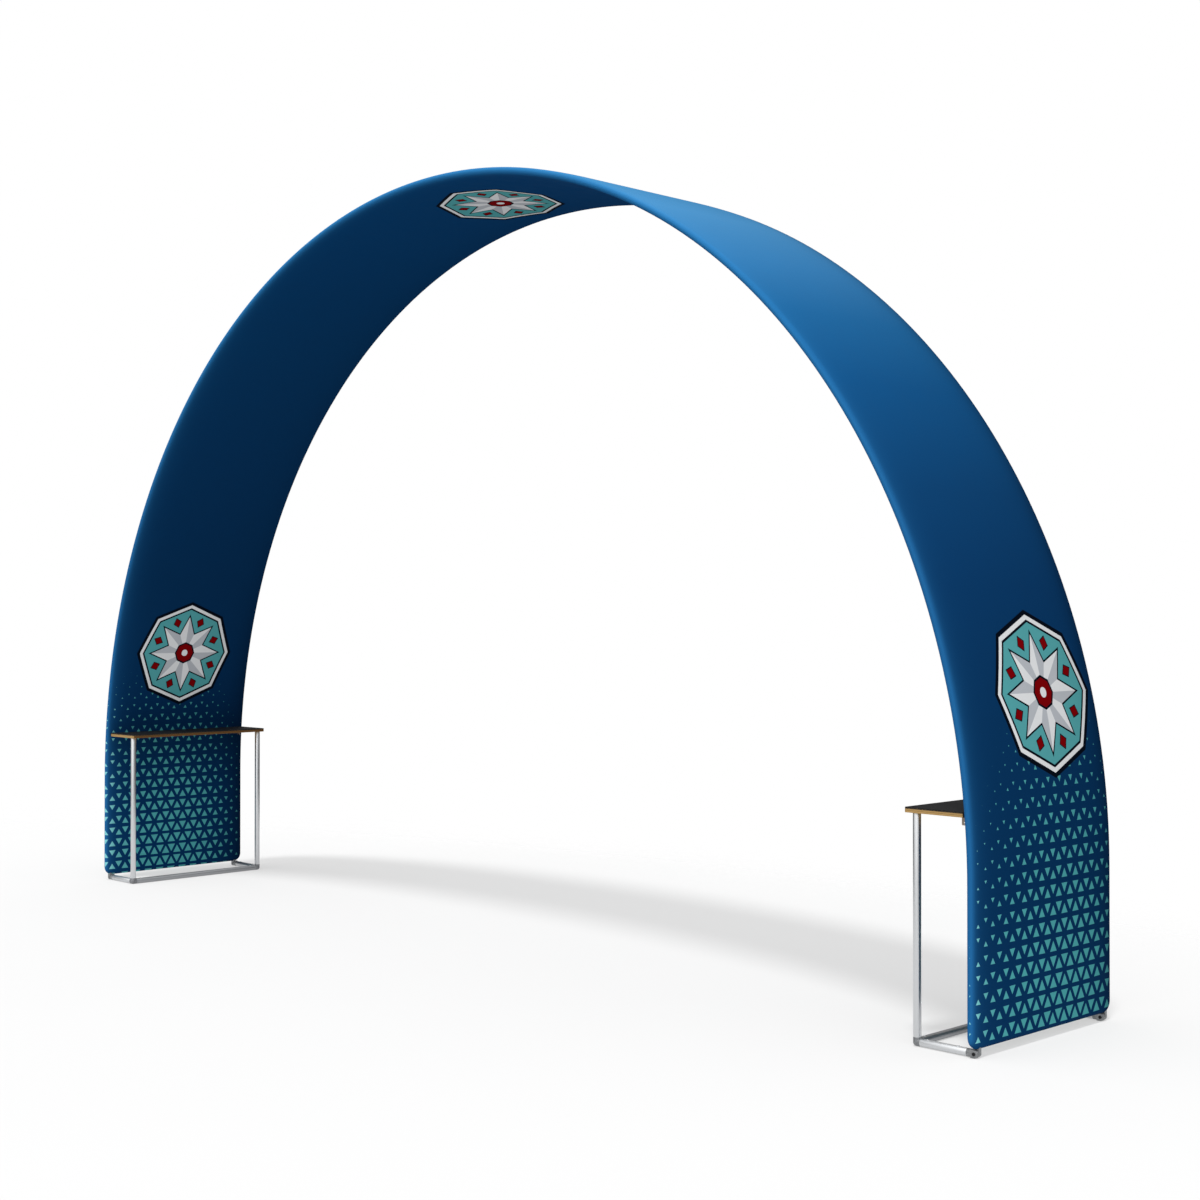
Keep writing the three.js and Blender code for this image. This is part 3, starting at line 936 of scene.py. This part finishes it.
HEAD_ROUND = 2 * MM
KEY_RADIUS, KEY_DEPTH = 2.9 * MM, 2.5 * MM  # of the bolt's six-sided socket

RAIL_STUB = RAIL_Y - BEND_RADIUS - FOOT_HIGH.y - GAP
RAIL_SIDES = 24
RAIL_STEPS, BEND_STEPS = 144, 8  # over the half circle, and round a corner bend
SADDLE_ROOM = 0.6 * MM
HIDDEN_TUBES = ["foot_tube_left", "foot_tube_right"] + [f"spreader_{i}" for i in range(1, 6)]

BOARD_CORNER = 10 * MM
WOOD_ROUND, TOP_ROUND, STRIP_ROUND = 0.5 * MM, 1 * MM, 0.8 * MM
BRACKET_THICK, BRACKET_CORNER, BRACKET_ROUND = 3 * MM, 4 * MM, 0.4 * MM
EYE_RADIUS, EYE_RISE = 2.6 * MM, 10 * MM  # of the hole in the hanging leg
SCREW_RADIUS, SCREW_HEAD, SCREW_DOME, SCREW_INSET = 4 * MM, 2 * MM, 1.2 * MM, 8 * MM
SLOT_HALF = Vector((3, 0.5, 0)) * MM  # of the screw's driver slot, seen from below
SLOT_FROM, SLOT_TO = ALONG_Z * 1.2 * MM, ALONG_Z * 2.5 * MM  # its heights below the seat
NEARBY = 1 * MM  # how near to an end an edge is taken to belong to it


def dress(piece, finish, node):
    """Gives a piece its finish and body, and hides the frame's node that it stands for."""
    for one in finish if isinstance(finish, tuple) else (finish,):
        piece.data.materials.append(one)
    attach(piece, "root")
    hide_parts(node)


def both_sides(piece, stem, node, finish):
    """The right counter's piece and its half turn for the left counter."""
    left = copy_of(piece, f"{stem}_left", HALF_TURN)
    dress(piece, finish, f"{node}_right")
    dress(left, finish, f"{node}_left")


def all_four(front, back, stem, node, finish, slot):
    """A front and a back piece on the right, and their half turns on the left."""
    dress(copy_of(front, f"{stem}_left_back", HALF_TURN), finish, f"{node}_left_back")
    dress(copy_of(back, f"{stem}_left_front", HALF_TURN), finish, f"{node}_left_front")
    dress(front, finish, f"{node}_right_front")
    dress(back, finish, f"{node}_right_back")


def snap_button(centre, way):
    """A spring button: a short pin with a domed head."""
    foot, top = centre + way * BUTTON_ROOT, centre + way * BUTTON_TOP
    pin = add_bar("snap_button", foot, top, BUTTON_RADIUS, sides=BUTTON_SIDES)
    axis = max(range(3), key=lambda i: way[i])
    return soften(pin, at_end(axis, top[axis]), BUTTON_DOME, segments=4)


def brighten_buttons(piece, buttons):
    """Puts the heads of a casting's buttons in its second finish."""
    for face in piece.data.polygons:
        for centre, way in buttons:
            off = face.center - centre
            height = off.dot(way)
            in_line = (off - way * height).length < BUTTON_RADIUS + 0.1 * MM
            if in_line and height > SPIGOT_RADIUS + 0.2 * MM:
                face.material_index = 1


def hollow_tube(name, start, end, buttons):
    """A round tube with a wall, softened rims and a drilled hole for each button."""
    tube = add_bar(name, start, end, TUBE_RADIUS, ends="NOTHING")
    finish_with(tube, "SOLIDIFY", thickness=TUBE_WALL, offset=-1)
    soften(tube, sharp(), RIM_ROUND)
    for centre, way in buttons:
        outside = centre + way * (TUBE_RADIUS + 5 * BITE)
        cut(tube, add_bar("drill", centre, outside, BUTTON_RADIUS + GAP, BUTTON_SIDES))
    return smooth(tube)


def corner_arm(way, button_way):
    """One arm of a corner: its collar, the spigot inside the tube and the button."""
    axis = max(range(3), key=lambda i: way[i])
    rim, tip = CORNER + way * SOCKET, CORNER + way * SPIGOT_REACH
    collar = add_bar("collar", CORNER, rim, TUBE_RADIUS)
    soften(collar, at_end(axis, rim[axis]), COLLAR_ROUND)
    spigot = add_bar("spigot", CORNER + way * (SOCKET - HIDDEN_LAP), tip, SPIGOT_RADIUS)
    soften(spigot, at_end(axis, tip[axis]), TIP_ROUND)
    return collar, spigot, snap_button(CORNER + way * BUTTON_AT, button_way)


def make_corners(finish):
    """The three-way casting: a ball with three arms."""
    front = add_ball("cast_corner_right_front", CORNER, TUBE_RADIUS + BALL_PROUD)
    arms = ((ALONG_Y, ALONG_Z), (ALONG_X, ALONG_Z), (ALONG_Z, ALONG_Y))
    for way, button_way in arms:
        weld(front, *corner_arm(way, button_way))
    brighten_buttons(front, [(CORNER + way * BUTTON_AT, top) for way, top in arms])
    smooth(front)
    back = smooth(copy_of(front, "cast_corner_right_back", MIRROR))
    all_four(front, back, "cast_corner", "corner", finish, "cast_corner")


def make_tubes(stem, node, start, end, buttons, finish):
    """A tube at the right front, its mirror image at the back, and both on the left."""
    front = hollow_tube(f"{stem}_right_front", start, end, buttons)
    back = smooth(copy_of(front, f"{stem}_right_back", MIRROR))
    all_four(front, back, stem, node, finish, "counter_tube")


def make_uprights(finish):
    top = Vector((CORNER.x, CORNER.y, UPRIGHT_HIGH.z))
    bottom = CORNER + ALONG_Z * (SOCKET + GAP)
    holes = ((CORNER + ALONG_Z * BUTTON_AT, ALONG_Y),)
    make_tubes("upright_tube", "upright", bottom, top, holes, finish)


def make_side_tubes(finish):
    start, end = CORNER.copy(), CORNER.copy()
    start.x, end.x = SIDE_LOW.x, SIDE_HIGH.x
    by_corner = CORNER + ALONG_X * BUTTON_AT
    by_lug = Vector((LUG_BUTTON_X, CORNER.y, CORNER.z))
    holes = ((by_corner, ALONG_Z), (by_lug, ALONG_Z))
    make_tubes("side_tube", "floor_tube", start, end, holes, finish)


def make_floor_bars(finish):
    start, end = CORNER.copy(), CORNER.copy()
    start.y, end.y = FLOOR_LOW.y, FLOOR_HIGH.y
    near = CORNER + ALONG_Y * BUTTON_AT
    far = Vector((near.x, -near.y, near.z))
    bar = hollow_tube("floor_bar_right", start, end, ((near, ALONG_Z), (far, ALONG_Z)))
    both_sides(bar, "floor_bar", "floor_tube", finish)


def half_round_plate(name, centre, radius, near, far, length, way):
    """A plate across Y with one half-round end, drawn out from its flat end."""
    start, end = Vector((centre.x, near, centre.z)), Vector((centre.x, far, centre.z))
    plate = add_bar(name, start, end, radius)
    shape(
        plate,
        bpy.ops.mesh.bisect,
        faces=everything,
        plane_co=centre,
        plane_no=way,
        use_fill=True,
        clear_outer=True,
    )
    draw_out(plate, way * length, faces=lambda face: face.normal.dot(way) > TRUE_TO)
    return soften(face_outwards(plate), sharp(), LAP_ROUND)


def drill_for_bolt(piece, level):
    """Drills across Y on the pivot's axis, through a piece whose middle lies at a level."""
    centre, reach = Vector((PIVOT.x, level, PIVOT.z)), ALONG_Y * 2 * TUBE_RADIUS
    return cut(piece, add_bar("bolt_drill", centre - reach, centre + reach, BOLT_HOLE, 32))


def make_lugs(finish):
    """The lug on a side tube: half lap, round neck, spigot and button."""
    lap = half_round_plate(
        "hinge_lug_right_front",
        PIVOT,
        TUBE_RADIUS,
        near=LUG_LOW.y,
        far=PIVOT.y - GAP / 2,
        length=TUBE_RADIUS + BITE,
        way=-ALONG_X,
    )
    drill_for_bolt(lap, PIVOT.y)
    root = PIVOT - ALONG_X * TUBE_RADIUS
    neck = add_bar("neck", root, root - ALONG_X * NECK_LENGTH, TUBE_RADIUS)
    soften(neck, sharp(), COLLAR_ROUND)
    tip = Vector((LUG_LOW.x, CORNER.y, CORNER.z))
    inside_neck = root - ALONG_X * (NECK_LENGTH - HIDDEN_LAP)
    spigot = add_bar("spigot", tip, inside_neck, SPIGOT_RADIUS)
    soften(spigot, at_end(0, tip.x), TIP_ROUND)
    button_at = Vector((LUG_BUTTON_X, CORNER.y, CORNER.z))
    front = smooth(weld(lap, neck, spigot, snap_button(button_at, ALONG_Z)))
    brighten_buttons(front, [(button_at, ALONG_Z)])
    back = copy_of(front, "hinge_lug_right_back", LAP_SHIFT)
    all_four(front, back, "hinge_lug", "lug", finish, "cast_lug")


def spin_edges(piece, wanted, steps, angle, centre, axis):
    """Spins the wanted edges into a bend."""
    spin = bpy.ops.mesh.spin
    shape(piece, spin, edges=wanted, steps=steps, angle=angle, center=centre, axis=axis)


def make_rail():
    """The back rail: a ring spun over the arch, drawn down both legs and bent in at the feet."""
    deselect_all()
    bpy.ops.mesh.primitive_circle_add(
        vertices=RAIL_SIDES, radius=RAIL_RADIUS, location=(-ARCH_RADIUS, RAIL_Y, SPRING_Z)
    )
    rail = set_down(newest("arch_rail_back"))
    spin_edges(rail, everything, RAIL_STEPS, -math.pi, (0, RAIL_Y, SPRING_Z), ALONG_Y)
    draw_out(rail, (0, 0, BEND_Z - SPRING_Z), edges=at_end(2, SPRING_Z))
    inwards = RAIL_Y - BEND_RADIUS
    for side in (-1, 1):
        foot = on_side(side, at_end(2, BEND_Z))
        centre = (side * ARCH_RADIUS, inwards, BEND_Z)
        spin_edges(rail, foot, BEND_STEPS, QUARTER, centre, ALONG_X)
    draw_out(rail, (0, -RAIL_STUB, 0), edges=at_end(1, inwards))
    for side in (-1, 1):
        tip = on_side(side, at_end(1, inwards - RAIL_STUB))
        shape(rail, bpy.ops.mesh.edge_face_add, edges=tip)
    return smooth(face_outwards(rail))


def drawn_frame(name):
    light, dark = tone(200, 203, 206), tone(168, 171, 174)
    return drawn_tube(name, light, dark, (60, 60, 60), roughness=0.42, metal=0.9)


def make_rails():
    finish = drawn_frame("drawn_rail")
    back = make_rail()
    front = smooth(copy_of(back, "arch_rail_front", MIRROR))
    dress(back, finish, "rail_back")
    dress(front, finish, "rail_front")
    return {"front": front, "back": back}


def make_post(end, rails):
    """The post between a bolt and the frame's corner, saddled to the tube it carries."""
    low, high = box_of(f"post_right_{end}")
    half = (high.x - low.x) / 2
    centre = Vector((PIVOT.x, (low.y + high.y) / 2, PIVOT.z))
    post = half_round_plate(
        f"stand_post_right_{end}", centre, half, low.y, high.y, FOOT_Z - PIVOT.z, ALONG_Z
    )
    drill_for_bolt(post, centre.y)
    rail = copy_of(rails[end], "saddle", Matrix.Identity(4))
    shape(rail, bpy.ops.transform.shrink_fatten, faces=everything, value=SADDLE_ROOM)
    return smooth(cut(post, rail))


def make_bolts(finish):
    """A button-head bolt with a six-sided socket, its head on the lug's outer face."""
    low, high = box_of("bolt_right_front")
    seat = LUG_LOW.y - GAP

    def on_axis(y):
        return Vector((PIVOT.x, y, PIVOT.z))

    head = add_bar("pivot_bolt_right_front", on_axis(seat), on_axis(low.y), BOLT_HEAD)
    soften(head, at_end(1, low.y), HEAD_ROUND, segments=5)
    shank = add_bar("shank", on_axis(seat - BITE), on_axis(high.y), BOLT_SHANK)
    soften(shank, at_end(1, high.y), COLLAR_ROUND)
    weld(head, shank)
    start, end = on_axis(low.y - BITE), on_axis(low.y + KEY_DEPTH)
    cut(head, add_bar("hex_key", start, end, KEY_RADIUS, sides=6))
    smooth(head)
    back = copy_of(head, "pivot_bolt_right_back", LAP_SHIFT)
    all_four(head, back, "pivot_bolt", "bolt", finish, "black_steel")


def board(name, node, edge_round):
    """A counter board, its two free corners rounded and its edges eased."""
    low, high = box_of(node)
    plank = add_block(name, low, high)
    free_corners = along(2, lambda c: c.x < low.x + NEARBY)
    soften(plank, free_corners, BOARD_CORNER, segments=8)
    soften(plank, sharp(), edge_round, segments=3)
    return smooth(plank)


def make_counter_boards(wood, black, rubber):
    core = board("plywood_board_right", "table_core_right", WOOD_ROUND)
    both_sides(core, "plywood_board", "table_core", wood)
    top = board("laminate_top_right", "table_top_right", TOP_ROUND)
    both_sides(top, "laminate_top", "table_top", black)
    strip = add_block("edging_strip_right", *box_of("table_edge_right"))
    smooth(soften(strip, sharp(), STRIP_ROUND, segments=3))
    both_sides(strip, "edging_strip", "table_edge", rubber)


def make_brackets(finish):
    """An angle under the board: a corner block drawn down into a leg and back into a flange."""
    low, high = box_of("bracket_right")
    thick = BRACKET_THICK
    fold = Vector((low.x, low.y, high.z - thick))  # the block's lowest corner
    angle = add_block("angle_bracket_right", fold, Vector((high.x, low.y + thick, high.z)))
    draw_out(angle, (0, 0, low.z - fold.z), faces=lambda face: face.normal.z < -TRUE_TO)
    draw_out(
        angle,
        (0, high.y - low.y - thick, 0),
        faces=lambda face: face.normal.y > TRUE_TO and face.calc_center_median().z > fold.z,
    )
    face_outwards(angle)
    soften(angle, along(1, lambda c: c.z < low.z + NEARBY), BRACKET_CORNER, segments=5)
    soften(angle, along(2, lambda c: c.y > high.y - NEARBY), BRACKET_CORNER, segments=5)
    soften(angle, sharp(), BRACKET_ROUND)
    middle_x = (low.x + high.x) / 2
    eye = Vector((middle_x, low.y + thick / 2, low.z + EYE_RISE))
    through = ALONG_Y * (thick / 2 + BITE)
    cut(angle, add_bar("eye", eye - through, eye + through, EYE_RADIUS, sides=24))
    seat = Vector((middle_x, high.y - SCREW_INSET, fold.z))
    head = seat - ALONG_Z * SCREW_HEAD
    screw = add_bar("screw", seat + ALONG_Z * BITE, head, SCREW_RADIUS, sides=32)
    soften(screw, at_end(2, head.z), SCREW_DOME, segments=4)
    weld(angle, screw)
    slot = add_block("driver_slot", seat - SLOT_HALF - SLOT_TO, seat + SLOT_HALF - SLOT_FROM)
    smooth(cut(angle, slot))
    both_sides(angle, "angle_bracket", "bracket", finish)


def make_counters():
    # name, light, dark, roughness, metal
    castings = (
        ("cast_lug_skin", tone(144, 146, 148), tone(112, 114, 116), 0.42, 0.55),
        ("cast_corner_skin", tone(136, 138, 141), tone(104, 106, 109), 0.45, 0.5),
        ("black_bolt_skin", tone(40, 40, 42), tone(20, 20, 22), 0.4, 0.6),
        ("bracket_skin", tone(168, 156, 146), tone(130, 118, 108), 0.45, 0.7),
    )
    lug_skin, corner_skin, bolt_skin, bracket_skin = (cast_metal(*row) for row in castings)
    # name, light, dark, how fine the streaks are along X, Y and Z, roughness, metal
    tubes = (
        ("drawn_upright", TUBE_PALE, TUBE_DEEP, (900, 900, 6), 0.30, 1.0),
        # the floor bars get a darker tone than the other drawn tubes: painted shade for the
        # darker reflections they catch low down
        ("drawn_floor_bar_painted_shade", tone(164, 166, 169), tone(146, 148, 151), (900, 6, 900), 0.46, 1.0),
        ("drawn_side_tube", TUBE_PALE, TUBE_DEEP, (6, 900, 900), 0.42, 1.0),
        ("button_steel", tone(226, 228, 230), tone(196, 198, 200), (400, 400, 400), 0.25, 1.0),
    )
    upright, floor_bar, side_tube, button_steel = (drawn_tube(*row) for row in tubes)
    make_corners((corner_skin, button_steel))
    make_uprights(upright)
    make_side_tubes(side_tube)
    make_floor_bars(floor_bar)
    make_lugs((lug_skin, button_steel))
    rails = make_rails()
    posts = [make_post(end, rails) for end in ENDS]
    all_four(*posts, "stand_post", "post", lug_skin, "cast_lug")
    make_bolts(bolt_skin)
    make_counter_boards(plywood(), laminate(), edging())
    make_brackets(bracket_skin)


def dress_hidden_tubes():
    """The tubes inside the cloth keep their shapes and get a drawn finish."""
    finish = drawn_frame("drawn_frame")
    for name in HIDDEN_TUBES:
        bpy.data.objects[name].material_slots[0].material = finish


make_counters()
dress_hidden_tubes()

# ---- The stage ----

FLOOR_Y, FLOOR_Z, FLOOR_REACH = -1.2, -0.5 * MM, Vector((8.5, 4.6))
FLOOR_FADES = (0.68, 1.0)  # shares of that reach between which the floor fades out
FLOOR_DEEP, FLOOR_PALE = (0.247, 0.247, 0.247, 1), (0.253, 0.253, 0.253, 1)
FLOOR_GLOW = 0.477  # the floor is a pale light table
SUN_POWER, FLOOR_SUN = 1.03, 1.76
SUN_TRAVEL, SUN_SPREAD = Vector((-0.17, 0.30, -1.0)), math.radians(8)
SKY_LOW, ROOM_LOW = 0.12, 0.15
OVERHEAD = ((0.12, -0.30, 0.94), -0.1, 1.0, 1.52)  # towards, where it starts and is full, power
FRONT_PANEL = ((0.09, -0.99, 0.08), 0.20, 1.0, 0.42)
GLOW_EDGE = (-0.28, -0.08)  # how far the light walls reach below the horizon
VIEW_FROM = (6.7386, -5.9030, 1.5778)
VIEW_TILT, VIEW_TURN = math.radians(0.411), math.radians(45.732)
SENSOR, LENS = 36, 54.70  # mm


def make_stage():
    """A round pale floor that fades out at its rim."""
    deselect_all()
    bpy.ops.mesh.primitive_circle_add(
        vertices=96, radius=1, fill_type="NGON", location=(0, FLOOR_Y, FLOOR_Z)
    )
    floor = newest("studio_floor")
    floor.scale = (FLOOR_REACH.x, FLOOR_REACH.y, 1)
    set_down(floor)
    finish, chart, shader = new_finish(
        "floor_paint",
        Roughness=0.95,
        Specular_IOR_Level=0.0,
        Emission_Color=(1, 1, 1, 1),
        Emission_Strength=FLOOR_GLOW,
    )
    place = chart.object_place()
    shade = chart.grain(place, scale=0.6, roughness=0.5)
    chart.feed(shader.inputs["Base Color"], chart.blend(shade, FLOOR_DEEP, FLOOR_PALE))
    across, along_y, _ = chart.split(place)
    far = [
        chart.over(across, FLOOR_REACH.x),
        chart.over(chart.minus(along_y, FLOOR_Y), FLOOR_REACH.y),
    ]
    reach = chart.calc("SQRT", chart.plus(*(chart.square(d) for d in far)))
    clear = chart.add("BsdfTransparent").outputs["BSDF"]
    share = chart.ramp(reach, *FLOOR_FADES)
    faded = chart.made("MixShader", {"Fac": share, 1: shader.outputs["BSDF"], 2: clear})
    output = finish.node_tree.nodes["Material Output"]
    chart.feed(output.inputs["Surface"], faded)
    floor.data.materials.append(finish)


def add_sun(name, power):
    deselect_all()
    turn = SUN_TRAVEL.to_track_quat("-Z", "Y").to_euler()
    bpy.ops.object.light_add(type="SUN", location=(2, -4, 8), rotation=turn)
    sun = bpy.context.active_object
    sun.name = name
    sun.data.energy = power
    sun.data.angle = SUN_SPREAD
    return sun


def make_lights():
    """A soft sun, one more for the floor only, and light walls that the camera sees as white."""
    add_sun("key_light", SUN_POWER)
    on_floor = bpy.data.collections.new("floor_only")
    on_floor.objects.link(bpy.data.objects["studio_floor"])
    add_sun("floor_light", FLOOR_SUN).light_linking.receiver_collection = on_floor
    world = bpy.data.worlds.new("studio")
    bpy.context.scene.world = world
    world.use_nodes = True
    chart = Chart(world.node_tree)
    shine = world.node_tree.nodes["Background"]
    way = chart.add("TexCoord").outputs["Generated"]
    glow = SKY_LOW
    for towards, start, end, power in (OVERHEAD, FRONT_PANEL):
        ways = {0: way, 1: Vector(towards).normalized()}
        facing = chart.made("VectorMath", ways, "Value", operation="DOT_PRODUCT")
        glow = chart.wander(chart.ramp(facing, start, end), glow, power)
    above = chart.ramp(chart.split(way)[2], *GLOW_EDGE)
    around = chart.plus(ROOM_LOW, chart.times(above, chart.minus(glow, ROOM_LOW)))
    seen = chart.add("LightPath").outputs["Is Camera Ray"]
    unseen = chart.times(around, chart.minus(1.0, seen))
    chart.feed(shine.inputs["Strength"], chart.plus(unseen, seen))
    shine.inputs["Color"].default_value = (1, 1, 1, 1)


def make_camera():
    deselect_all()
    bpy.ops.object.camera_add(
        location=VIEW_FROM, rotation=(QUARTER + VIEW_TILT, 0, VIEW_TURN)
    )
    camera = bpy.context.active_object
    camera.name = "view"
    camera.data.sensor_width = SENSOR
    camera.data.lens = LENS
    bpy.context.scene.camera = camera


make_stage()
make_lights()
make_camera()
bpy.context.scene.view_settings.view_transform = "Standard"
